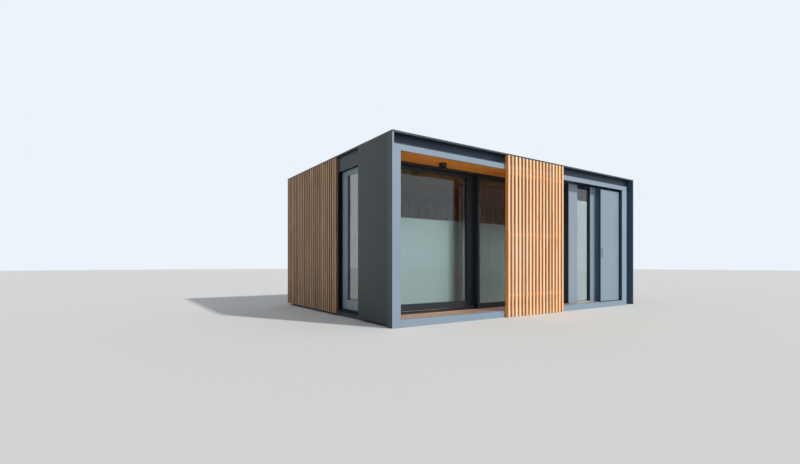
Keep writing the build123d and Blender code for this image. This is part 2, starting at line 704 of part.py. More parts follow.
# Slatted screen: thin slats on a frame of two uprights and three rails
SCREEN_END = SCREEN_START + SCREEN_WIDTH
SCREEN_Z = (SCREEN_FOOT, ROOF_UNDERSIDE - SCREEN_HEAD_GAP)
SLAT_BACK = SCREEN_SLAT_DEPTH - SCREEN_DEPTH


def screen_battens():
    battens = []
    for start in slat_starts(SCREEN_START, SCREEN_END):
        slat = block((start, start + BATTEN_WIDTH), (-SCREEN_DEPTH, SLAT_BACK), SCREEN_Z)
        front = slat.faces().sort_by(Axis.Y)[0]
        battens.append(chamfer(front.edges().filter_by(Axis.Z), BATTEN_CHAMFER))
    return together(battens)


def screen_rails():
    y = (SLAT_BACK, 0)
    left = block((SCREEN_START, SCREEN_START + BATTEN_WIDTH), y, SCREEN_Z)
    right = block((SCREEN_END - BATTEN_WIDTH, SCREEN_END), y, SCREEN_Z)
    members = [left, right]
    x = (SCREEN_START + BATTEN_WIDTH, SCREEN_END - BATTEN_WIDTH)
    high = BEAM_BOTTOM - SCREEN_RAIL_INSET - SCREEN_RAIL_HEIGHT
    for level in (SCREEN_LOW_RAIL, (SCREEN_LOW_RAIL + high) / 2, high):
        members.append(block(x, y, (level, level + SCREEN_RAIL_HEIGHT)))
    return together(members)


NODES = [
    floor_base, interior_floor, porch_deck,
    base_rail, left_jamb, right_jamb, top_beam, front_fascia, return_panel, edge_plates,
    left_front_wall, left_rear_wall, right_wall, back_wall,
    corner_panels, left_battens, right_battens, back_panels,
    roof_deck, roof_trim, roof_membrane, porch_soffit, bay_soffit, ceiling, downlights,
    window_header, window_surround, window_frame, window_sash, window_glass,
    porch_head, porch_sill, porch_posts, fixed_frame, fixed_glass,
    leaf_frame, leaf_glass, leaf_rollers, leaf_pull,
    bay_side_wall, bay_panels, bay_sill, bay_window_frame, bay_window_glass,
    door_posts, door_head, bay_end_wall, store_door, hinge_plates, hinge_leaves, door_pull,
    screen_battens, screen_rails,
]

# The origin is under the middle of the whole house, the screen included
TO_ORIGIN = Pos(-WIDTH / 2, (SCREEN_DEPTH - DEPTH) / 2, 0)

for make_node in NODES:
    export_step(TO_ORIGIN * make_node(), f"parts/{make_node.__name__}.step")
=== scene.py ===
"""Looks of a flat-roofed summerhouse: finishes, small fittings, blinds, stage, light and camera."""
import json
import logging
import math
from abc import ABC, abstractmethod
from dataclasses import dataclass, field
from enum import Enum

import bmesh
import bpy
from mathutils import Matrix, Vector


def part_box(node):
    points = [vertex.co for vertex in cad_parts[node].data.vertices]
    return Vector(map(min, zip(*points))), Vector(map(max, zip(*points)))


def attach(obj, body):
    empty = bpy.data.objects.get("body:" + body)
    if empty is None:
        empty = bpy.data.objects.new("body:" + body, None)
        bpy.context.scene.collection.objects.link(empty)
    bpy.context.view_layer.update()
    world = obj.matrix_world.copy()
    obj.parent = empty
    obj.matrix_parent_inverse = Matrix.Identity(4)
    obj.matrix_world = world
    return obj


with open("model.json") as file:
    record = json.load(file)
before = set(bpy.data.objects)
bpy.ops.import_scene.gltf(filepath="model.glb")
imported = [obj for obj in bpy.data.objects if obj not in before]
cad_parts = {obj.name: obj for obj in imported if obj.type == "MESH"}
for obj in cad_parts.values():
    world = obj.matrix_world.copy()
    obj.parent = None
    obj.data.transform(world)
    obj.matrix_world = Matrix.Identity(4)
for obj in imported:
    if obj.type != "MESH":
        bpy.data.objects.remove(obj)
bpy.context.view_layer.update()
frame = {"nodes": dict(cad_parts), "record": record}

LOG = logging.getLogger("summerhouse")

# Slats: their width, how far beside a slat its tone ends, and their number in each run
SLAT_WIDTH = 0.045
SLAT_MARGIN = 0.018
SCREEN_SLATS = 17
LEFT_SLATS = 27
RIGHT_SLATS = 35

# Boards: how far apart their joints are, and how wide the grooves at the joints are
DECK_PITCH = 0.112
DECK_GROOVE = 0.005
SOFFIT_PITCH = 0.09
SOFFIT_GROOVE = 0.006
FLOOR_PITCH = 0.14

Colour = tuple[int, int, int]
Point = tuple[float, float, float]
Pair = tuple[float, float]
Socket = bpy.types.NodeSocket


class Axis(Enum):
    """The three directions of the row frame."""

    X = 0
    Y = 1
    Z = 2


class Body(Enum):
    """The bodies that new pieces ride on."""

    HOUSE = "house"
    LEAF = "sliding_leaf"


class Slot(Enum):
    """The record's material slots, named for new pieces."""

    PANEL_PAINT = "panel_paint"
    SASH_PAINT = "sash_paint"
    GLAZING = "glazing"
    MEMBRANE = "membrane"
    BLACK_METAL = "black_metal"
    STEEL = "steel"


def linear(colour: Colour) -> tuple[float, float, float, float]:
    """Turn a colour as it shows on a screen into the linear one that nodes take.

    Args:
        colour: Red, green and blue from 0 to 255.

    Returns:
        The linear colour with an alpha of one.
    """
    parts = []
    for value in colour:
        share = value / 255
        low = share / 12.92
        parts.append(low if share <= 0.04045 else ((share + 0.055) / 1.055) ** 2.4)
    return (*parts, 1.0)


class Graph:
    """Builds the node tree of one material and hands out its sockets."""

    def __init__(self, name: str) -> None:
        """Start a material with a Principled shader on its output.

        Args:
            name: The material's name.
        """
        self.material = bpy.data.materials.new(name)
        self.material.use_nodes = True
        self.tree = self.material.node_tree
        self.tree.nodes.clear()
        self.output = self.node("ShaderNodeOutputMaterial")
        self.shader = self.node("ShaderNodeBsdfPrincipled")
        self.tree.links.new(self.shader.outputs[0], self.output.inputs[0])
        coordinates = self.node("ShaderNodeTexCoord")
        self.place = coordinates.outputs["Object"]
        self.facing = coordinates.outputs["Normal"]

    def node(self, kind: str, inputs: dict | None = None, **settings: object) -> bpy.types.Node:
        """Add a node.

        Args:
            kind: The node's type.
            inputs: Values or sockets for its inputs, by name or index.
            **settings: Values for its own properties.

        Returns:
            The new node.
        """
        node = self.tree.nodes.new(kind)
        for name, value in settings.items():
            setattr(node, name, value)
        for key, value in (inputs or {}).items():
            if isinstance(value, Socket):
                self.tree.links.new(value, node.inputs[key])
            else:
                node.inputs[key].default_value = value
        return node

    def math(self, operation: str, *values: float | Socket) -> Socket:
        """Return numbers joined by an operation of the Math node."""
        return self.node("ShaderNodeMath", dict(enumerate(values)), operation=operation).outputs[0]

    def vector(self, operation: str, *values: Socket | Point) -> Socket:
        """Return vectors joined by an operation of the Vector Math node."""
        return self.node("ShaderNodeVectorMath", dict(enumerate(values)), operation=operation).outputs[0]

    def times(self, value: Socket, factor: float | Socket) -> Socket:
        """Return a colour or vector times a number."""
        return self.node("ShaderNodeVectorMath", {0: value, "Scale": factor}, operation="SCALE").outputs[0]

    def axis(self, axis: Axis) -> Socket:
        """Return one coordinate of the piece's own place."""
        return self.node("ShaderNodeSeparateXYZ", {0: self.place}).outputs[axis.value]

    def turned(self, axis: Axis, sign: int = 0) -> Socket:
        """Return one where a face looks along an axis, and zero elsewhere.

        Args:
            axis: The axis.
            sign: Which way along it, or 0 for both.

        Returns:
            The share, from 0 to 1.
        """
        part = self.node("ShaderNodeSeparateXYZ", {0: self.facing}).outputs[axis.value]
        part = self.math("MULTIPLY", part, float(sign)) if sign else self.math("ABSOLUTE", part)
        return self.band(part, 0.45, 0.6)

    def noise(self, place: Socket, scale: float = 1.0, detail: float = 4.0, warp: float = 0.0) -> Socket:
        """Return a noise with so many features a metre, octaves of detail and distortion."""
        inputs = {"Vector": place, "Scale": scale, "Detail": detail, "Distortion": warp}
        return self.node("ShaderNodeTexNoise", inputs).outputs[0]

    def band(
        self, value: Socket, low: float, high: float, to_low: float = 0.0, to_high: float = 1.0
    ) -> Socket:
        """Return a number mapped from one range to another and held at both ends."""
        inputs = {0: value, 1: low, 2: high, 3: to_low, 4: to_high}
        return self.node("ShaderNodeMapRange", inputs, clamp=True).outputs[0]

    def between(self, noise: Socket, low: float, high: float) -> Socket:
        """Return a value between two ends that follows the middle range of a noise."""
        return self.band(noise, 0.3, 0.7, low, high)

    def mix(
        self, share: Socket | float, first: Socket | tuple, second: Socket | tuple, blend: str = "MIX"
    ) -> Socket:
        """Mix two colours.

        Args:
            share: How much of the second shows.
            first: The first colour.
            second: The second colour.
            blend: How they join.

        Returns:
            The mixed colour.
        """
        inputs = {0: share, 6: first, 7: second}
        node = self.node("ShaderNodeMix", inputs, data_type="RGBA", blend_type=blend)
        return node.outputs[2]

    def stretched(self, along: Axis, scales: Pair) -> Socket:
        """Stretch the piece's own place along one axis.

        Args:
            along: The axis that the pattern runs along.
            scales: The pattern's scale along it and across it.

        Returns:
            The stretched coordinates.
        """
        run, across = scales
        sizes = [across] * 3
        sizes[along.value] = run
        return self.vector("MULTIPLY", self.place, tuple(sizes))

    def bump(self, height: Socket, depth: float) -> None:
        """Raise the surface by a height, of which one is so many metres deep."""
        node = self.node("ShaderNodeBump", {"Height": height, "Distance": depth, "Strength": 1.0})
        self.tree.links.new(node.outputs[0], self.shader.inputs["Normal"])

    def set(self, **values: object) -> None:
        """Set the shader's own sockets.

        Args:
            **values: A value or socket for each, with an underscore for each space in its name.
        """
        for key, value in values.items():
            socket = self.shader.inputs[key.replace("_", " ")]
            if isinstance(value, Socket):
                self.tree.links.new(value, socket)
            else:
                socket.default_value = value


@dataclass(frozen=True)
class Finish(ABC):
    """A finish that makes one material of its own name."""

    name: str

    def make(self) -> bpy.types.Material:
        """Make the material.

        Returns:
            The new material.
        """
        graph = Graph(self.name)
        self.dress(graph)
        return graph.material

    @abstractmethod
    def dress(self, graph: Graph) -> None:
        """Put the finish on the shader of the material's graph."""


@dataclass(frozen=True)
class PaintFinish(Finish):
    """A satin powder coat with a fine skin, faint cloudiness and rain marks.

    A second, darker colour, where given, is painted shade on the faces that don't look forward, nor
    up where lit_tops is set, so those tops keep the main colour as if sunlit. The pair named right
    takes the place of the main and the shade colour on the right half of the house: a darker front
    painted as a cast shadow and a lighter, bluer painted shade.
    """

    colour: Colour
    marks: Colour
    # Painted shade for faces that don't look forward; the right pair is painted shadow and shade
    painted_shade: Colour | None = None
    right: tuple[Colour, Colour] | None = None
    lit_tops: bool = True
    roughness: float = 0.42
    sheen: float = 0.5
    cloud: float = 0.35
    cloud_scale: float = 1.7
    rain_scale: Pair = (0.8, 24.0)
    grit_scale: float = 90.0
    skin_scale: float = 520.0
    peel: float = 0.00006

    def dress(self, graph: Graph) -> None:
        """Put the coat on the shader.

        Args:
            graph: The material's graph.
        """
        clouds = graph.noise(graph.place, self.cloud_scale, 3.0)
        rain = graph.noise(graph.stretched(Axis.Z, self.rain_scale))
        grit = graph.noise(graph.place, self.grit_scale, 3.0)
        share = graph.band(clouds, 0.35, 0.7, to_high=self.cloud)
        tone = graph.mix(share, linear(self.colour), linear(self.marks))
        share = graph.band(rain, 0.52, 0.78, to_high=self.cloud)
        tone = graph.mix(share, tone, linear(self.marks))
        # Painted shade on the faces that don't look forward
        if self.painted_shade:
            tone = self.paint_shade_over(graph, tone)
        tone = graph.times(tone, graph.between(grit, 0.94, 1.04))
        rough = graph.between(grit, self.roughness - 0.06, self.roughness + 0.06)
        graph.set(Base_Color=tone, Roughness=rough, Specular_IOR_Level=self.sheen)
        graph.bump(graph.noise(graph.place, self.skin_scale, 2.0), self.peel)

    def paint_shade_over(self, graph: Graph, tone: Socket) -> Socket:
        """Paint shade on the faces that don't look forward, in the darker second colour.

        Args:
            graph: The material's graph.
            tone: The front colour.

        Returns:
            The colour of every face.
        """
        painted_shade = linear(self.painted_shade)
        # On the right half: a darker front painted as a cast shadow, and a lighter painted shade
        if self.right:
            beyond = graph.math("GREATER_THAN", graph.axis(Axis.X), 0.0)
            right_painted_shadow, right_painted_shade = self.right
            tone = graph.mix(beyond, tone, linear(right_painted_shadow))
            painted_shade = graph.mix(beyond, painted_shade, linear(right_painted_shade))
        # Faces that look forward, and up where tops count as sunlit, keep the main colour; the rest take the
        # painted shade
        front = graph.turned(Axis.Y, -1)
        if self.lit_tops:
            front = graph.math("MAXIMUM", front, graph.turned(Axis.Z, 1))
        return graph.mix(front, painted_shade, tone)


@dataclass(frozen=True)
class TimberFinish(Finish):
    """Boards or slats of timber, each with a tone and a grain of its own.

    The first joint lies at start, across the boards. A side colour is painted shade and bounce light
    on the faces between two slats, multiplied into their tone; joint says how far to each side of a
    joint its dark line reaches, and past stop the boards take one dark colour. A scale counts what a
    metre holds, along the grain and across it, and apart is how far from each other in that grain
    two boards may lie.
    """

    pale: Colour
    warm: Colour
    dark: Colour
    along: Axis
    across: Axis
    pitch: float
    start: float
    spread: float = 0.6
    knots: float = 0.7
    roughness: float = 0.55
    grey: Colour = (150, 140, 128)
    weather: float = 0.0
    seed: float = 0.0
    # Painted shade and bounce light on the faces between slats
    side: Colour | None = None
    joint: float = 0.0
    stop: float | None = None
    past_stop_colour: Colour = (44, 60, 72)
    figure_scale: Pair = (0.9, 13.0)
    fibre_scale: Pair = (5.0, 210.0)
    knot_scale: Pair = (1.7, 6.5)
    worn_scale: Pair = (0.7, 5.0)
    rings: float = 11.0
    ring_share: float = 0.42
    fibre_share: float = 0.5
    joint_shade: float = 0.85
    apart: float = 40.0
    relief: float = 0.0005

    def dress(self, graph: Graph) -> None:
        """Put the tones and the grain on the shader.

        Args:
            graph: The material's graph.
        """
        moved = graph.math("SUBTRACT", graph.axis(self.across), self.start)
        count = graph.math("DIVIDE", moved, self.pitch)
        key = graph.math("ADD", graph.math("FLOOR", count), self.seed)
        chance = graph.node("ShaderNodeTexWhiteNoise", {"W": key}, noise_dimensions="1D")
        shift = graph.times(chance.outputs["Color"], self.apart)
        figure = graph.vector("ADD", graph.stretched(self.along, self.figure_scale), shift)
        fibre = graph.vector("ADD", graph.stretched(self.along, self.fibre_scale), shift)
        broad = graph.noise(figure, detail=5.0, warp=0.5)
        fine = graph.noise(fibre, detail=3.0)
        rings = graph.math("PINGPONG", graph.math("MULTIPLY", broad, self.rings), 1.0)
        tone = graph.mix(graph.band(broad, 0.32, 0.68), linear(self.warm), linear(self.pale))
        tone = graph.mix(graph.band(rings, 0.55, 1.0, to_high=self.ring_share), tone, linear(self.dark))
        tone = graph.mix(graph.band(fine, 0.5, 0.8, to_high=self.fibre_share), tone, linear(self.dark))
        tone = self.vary(graph, tone, chance)
        tone = self.add_knots(graph, tone, shift)
        tone = self.age(graph, tone)
        tone = self.shade(graph, tone, count)
        rough = graph.between(fine, self.roughness - 0.1, self.roughness + 0.1)
        graph.set(Base_Color=tone, Roughness=rough)
        graph.bump(graph.math("ADD", graph.math("MULTIPLY", rings, 0.35), fine), self.relief)

    def vary(self, graph: Graph, tone: Socket, chance: bpy.types.Node) -> Socket:
        """Give each board a lightness and warmth of its own.

        Args:
            graph: The material's graph.
            tone: The colour so far.
            chance: The node that holds each board's chance values.

        Returns:
            The varied colour.
        """
        second = graph.node("ShaderNodeSeparateColor", {0: chance.outputs["Color"]}).outputs[1]
        lift = graph.band(chance.outputs["Value"], 0.0, 1.0, 1 - self.spread / 2, 1 + self.spread / 4)
        warmer = graph.mix(graph.math("MULTIPLY", second, self.spread * 0.6), tone, linear(self.warm))
        return graph.times(warmer, lift)

    def add_knots(self, graph: Graph, tone: Socket, shift: Socket) -> Socket:
        """Set a few small knots in the boards.

        Args:
            graph: The material's graph.
            tone: The colour so far.
            shift: The move that keeps boards unlike each other.

        Returns:
            The colour with knots.
        """
        place = graph.vector("ADD", graph.stretched(self.along, self.knot_scale), shift)
        cells = graph.node("ShaderNodeTexVoronoi", {"Vector": place, "Scale": 1.0})
        near = graph.band(cells.outputs["Distance"], 0.035, 0.12, self.knots, 0.0)
        return graph.mix(near, tone, linear(self.dark))

    def age(self, graph: Graph, tone: Socket) -> Socket:
        """Turn patches of weathered timber grey.

        Args:
            graph: The material's graph.
            tone: The colour so far.

        Returns:
            The weathered colour.
        """
        if not self.weather:
            return tone
        worn = graph.noise(graph.stretched(self.along, self.worn_scale))
        share = graph.band(worn, 0.35, 0.75, to_high=self.weather)
        return graph.mix(share, tone, linear(self.grey))

    def shade(self, graph: Graph, tone: Socket, count: Socket) -> Socket:
        """Paint shade and bounce light on the sides of slats, darken the joints of boards and give what lies
        past the stop one dark colour.

        Args:
            graph: The material's graph.
            tone: The colour so far.
            count: How many pitches a place lies from the first joint.

        Returns:
            The shaded colour.
        """
        # Painted shade and bounce light on the faces between slats
        if self.side:
            tone = graph.mix(graph.turned(self.across), tone, linear(self.side), "MULTIPLY")
        if self.joint:
            edge = graph.math("PINGPONG", count, 0.5)
            line = graph.band(edge, 0.0, self.joint / self.pitch, self.joint_shade, 0.0)
            tone = graph.mix(line, tone, linear(self.dark), "MULTIPLY")
        # Past the stop, one dark colour
        if self.stop is not None:
            past = graph.math("GREATER_THAN", graph.axis(self.along), self.stop)
            tone = graph.mix(past, tone, linear(self.past_stop_colour))
        return tone


@dataclass(frozen=True)
class GlassFinish(Finish):
    """Clear double glazing with a faint tint and the slight wave of toughened panes.

    A high index stands for the second pane's reflections, where they matter.
    """

    tint: Colour = (241, 246, 245)
    ior: float = 1.52
    wave: float = 2.2
    wave_depth: float = 0.0012

    def dress(self, graph: Graph) -> None:
        """Put the glass on the shader, and let the lamps through to what is behind it.

        Args:
            graph: The material's graph.
        """
        graph.set(Base_Color=linear(self.tint), Roughness=0.0, IOR=self.ior, Transmission_Weight=1.0)
        graph.bump(graph.noise(graph.place, self.wave, 1.0), self.wave_depth)
        tint = graph.node("ShaderNodeBsdfTransparent", {0: linear(self.tint)})
        path = graph.node("ShaderNodeLightPath").outputs["Is Shadow Ray"]
        joined = graph.node("ShaderNodeMixShader", {0: path, 1: graph.shader.outputs[0], 2: tint.outputs[0]})
        graph.tree.links.new(joined.outputs[0], graph.output.inputs[0])


@dataclass(frozen=True)
class BlindFinish(Finish):
    """A matt pale blind with faint patches and upright folds, whose colour is thinner there."""

    colour: Colour
    thin: Colour
    patch_scale: float = 2.6
    fold_scale: Pair = (1.2, 7.0)
    weave_scale: float = 300.0
    weave_depth: float = 0.0001
    patch_share: float = 0.5
    fold_share: float = 0.35

    def dress(self, graph: Graph) -> None:
        """Put the folds and the weave on the shader.

        Args:
            graph: The material's graph.
        """
        patches = graph.noise(graph.place, self.patch_scale, warp=0.3)
        folds = graph.noise(graph.stretched(Axis.Z, self.fold_scale), detail=3.0)
        share = graph.band(patches, 0.35, 0.7, to_high=self.patch_share)
        tone = graph.mix(share, linear(self.colour), linear(self.thin))
        share = graph.band(folds, 0.5, 0.75, to_high=self.fold_share)
        tone = graph.mix(share, tone, linear(self.thin))
        graph.set(Base_Color=tone, Roughness=graph.between(folds, 0.55, 0.7))
        graph.bump(graph.noise(graph.place, self.weave_scale, 2.0), self.weave_depth)


@dataclass(frozen=True)
class MetalFinish(Finish):
    """Satin stainless steel with a fine upright brushed grain and faint smudges."""

    colour: Colour
    dull: Colour
    roughness: float = 0.32
    brushing: Pair = (30.0, 1400.0)
    smudge_scale: float = 60.0
    grain_depth: float = 0.00003

    def dress(self, graph: Graph) -> None:
        """Put the brushed steel on the shader.

        Args:
            graph: The material's graph.
        """
        grain = graph.noise(graph.stretched(Axis.Z, self.brushing), detail=3.0)
        smudge = graph.noise(graph.place, self.smudge_scale, 3.0)
        bright = graph.mix(graph.band(grain, 0.25, 0.75), linear(self.dull), linear(self.colour))
        rough = graph.between(smudge, self.roughness, self.roughness + 0.16)
        graph.set(Base_Color=bright, Metallic=1.0, Roughness=rough)
        graph.bump(grain, self.grain_depth)


@dataclass(frozen=True)
class SheetFinish(Finish):
    """A rubbery or rough sheet with dust, small wrinkles and a coarse skin."""

    colour: Colour
    dust: Colour
    share: float = 0.5
    roughness: float = 0.78
    grain: float = 160.0
    depth: float = 0.0003
    dust_scale: float = 1.3

    def dress(self, graph: Graph) -> None:
        """Put the sheet and its dust on the shader.

        Args:
            graph: The material's graph.
        """
        patch = graph.noise(graph.place, self.dust_scale, 6.0, 0.4)
        fine = graph.noise(graph.place, self.grain, 3.0)
        share = graph.band(patch, 0.42, 0.72, to_high=self.share)
        tone = graph.mix(share, linear(self.colour), linear(self.dust))
        tone = graph.times(tone, graph.between(fine, 0.88, 1.08))
        rough = graph.between(fine, self.roughness - 0.08, self.roughness + 0.08)
        graph.set(Base_Color=tone, Roughness=rough)
        graph.bump(graph.math("ADD", fine, graph.math("MULTIPLY", patch, 3.0)), self.depth)


@dataclass(frozen=True)
class LiningFinish(Finish):
    """Plywood lining inside the walls and a black membrane outside them.

    The walls' outer faces lie half_width to each side, and half_depth before and behind middle_y.
    The membrane begins a skin's depth inside them.
    """

    plywood: Colour
    grain: Colour
    membrane: Colour
    half_width: float
    half_depth: float
    middle_y: float
    skin: float = 0.002
    figure_scale: Pair = (1.4, 9.0)
    fibre_scale: Pair = (9.0, 240.0)
    fibre_share: float = 0.3
    relief: float = 0.0002

    def dress(self, graph: Graph) -> None:
        """Put plywood on the shader, and the membrane from the walls' outer faces outwards.

        Args:
            graph: The material's graph.
        """
        figure = graph.noise(graph.stretched(Axis.Z, self.figure_scale), detail=6.0, warp=1.2)
        fine = graph.noise(graph.stretched(Axis.Z, self.fibre_scale), detail=3.0)
        tone = graph.mix(graph.band(figure, 0.4, 0.62), linear(self.plywood), linear(self.grain))
        tone = graph.mix(graph.band(fine, 0.5, 0.8, to_high=self.fibre_share), tone, linear(self.grain))
        side = graph.math("ABSOLUTE", graph.axis(Axis.X))
        deep = graph.math("ABSOLUTE", graph.math("SUBTRACT", graph.axis(Axis.Y), self.middle_y))
        out_x = graph.math("GREATER_THAN", side, self.half_width - self.skin)
        out_y = graph.math("GREATER_THAN", deep, self.half_depth - self.skin)
        tone = graph.mix(graph.math("MAXIMUM", out_x, out_y), tone, linear(self.membrane))
        graph.set(Base_Color=tone, Roughness=graph.between(fine, 0.5, 0.66))
        graph.bump(fine, self.relief)


@dataclass(frozen=True)
class Span:
    """A block of space between a low and a high corner."""

    low: Vector
    high: Vector

    @classmethod
    def of(cls, node: str) -> "Span":
        """Return the space that a CAD node takes."""
        low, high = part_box(node)
        return cls(low, high)

    def size(self, axis: Axis) -> float:
        """Return the length along one axis."""
        return self.high[axis.value] - self.low[axis.value]

    def pitch(self, axis: Axis, slats: int) -> float:
        """Return how far apart so many even slats stand that fill the block along one axis."""
        return (self.size(axis) - SLAT_WIDTH) / (slats - 1)


class Piece:
    """A mesh that is being built, and that becomes one object in place."""

    def __init__(self, name: str) -> None:
        """Start an empty mesh for an object of this name."""
        self.name = name
        self.mesh = bmesh.new()

    def box(self, low: Point, high: Point, ease: float = 0.0) -> None:
        """Add a block with eased edges.

        Args:
            low: Its lowest corner.
            high: Its highest corner.
            ease: How far its edges are eased.
        """
        middle = [(a + b) / 2 for a, b in zip(low, high)]
        size = [b - a for a, b in zip(low, high)]
        matrix = Matrix.Translation(middle) @ Matrix.Diagonal((*size, 1.0))
        made = bmesh.ops.create_cube(self.mesh, size=1.0, matrix=matrix)
        if ease:
            edges = list(dict.fromkeys(edge for vertex in made["verts"] for edge in vertex.link_edges))
            bmesh.ops.bevel(
                self.mesh, geom=edges, offset=ease, segments=1, profile=0.5, affect="EDGES", material=-1
            )

    def ring(self, low: Point, high: Point, facing: Axis, width: float) -> None:
        """Add a flat rectangular ring that faces along one axis.

        Args:
            low: The lowest corner of the space that it takes.
            high: The highest corner of that space.
            facing: The axis that it faces along.
            width: How wide its members are.
        """
        first = facing.value
        second, third = [axis for axis in range(3) if axis != first]
        corners = []
        for a, b in ((low, low), (high, low), (high, high), (low, high)):
            point = list(low)
            point[second] = a[second]
            point[third] = b[third]
            corners.append(self.mesh.verts.new(point))
        face = self.mesh.faces.new(corners)
        bmesh.ops.inset_region(
            self.mesh, faces=[face], thickness=width, use_boundary=True, use_even_offset=True
        )
        rim = [other for edge in face.edges for other in edge.link_faces if other is not face]
        self.mesh.faces.remove(face)
        grown = bmesh.ops.extrude_face_region(self.mesh, geom=rim, use_keep_orig=True)
        moved = [item for item in grown["geom"] if isinstance(item, bmesh.types.BMVert)]
        step = Vector((0, 0, 0))
        step[first] = high[first] - low[first]
        bmesh.ops.translate(self.mesh, verts=moved, vec=step)

    def disc(self, centre: Point, facing: Axis, radius: float, rise: float, sides: int = 8) -> None:
        """Add a short closed drum, such as a screw head or a lens.

        Args:
            centre: The middle of the drum.
            facing: The axis that it turns round, Y or Z.
            radius: Its radius.
            rise: Its length along the axis.
            sides: How many sides it has.
        """
        turn = {Axis.Y: Matrix.Rotation(math.pi / 2, 4, "X"), Axis.Z: Matrix.Identity(4)}[facing]
        bmesh.ops.create_cone(
            self.mesh, cap_ends=True, segments=sides, radius1=radius, radius2=radius, depth=rise,
            matrix=Matrix.Translation(centre) @ turn,
        )

    def finish(self, body: Body, slot: Slot, material: bpy.types.Material) -> None:
        """Turn the mesh into an object that rides on a body.

        Args:
            body: The body that it rides on.
            slot: The record's slot for its finish; not used.
            material: Its material.
        """
        bmesh.ops.recalc_face_normals(self.mesh, faces=self.mesh.faces)
        data = bpy.data.meshes.new(self.name)
        self.mesh.to_mesh(data)
        self.mesh.free()
        data.materials.append(material)
        made = bpy.data.objects.new(self.name, data)
        bpy.context.scene.collection.objects.link(made)
        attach(made, body.value)
        LOG.info("%s rides on %s with %d faces", self.name, body.value, len(data.polygons))


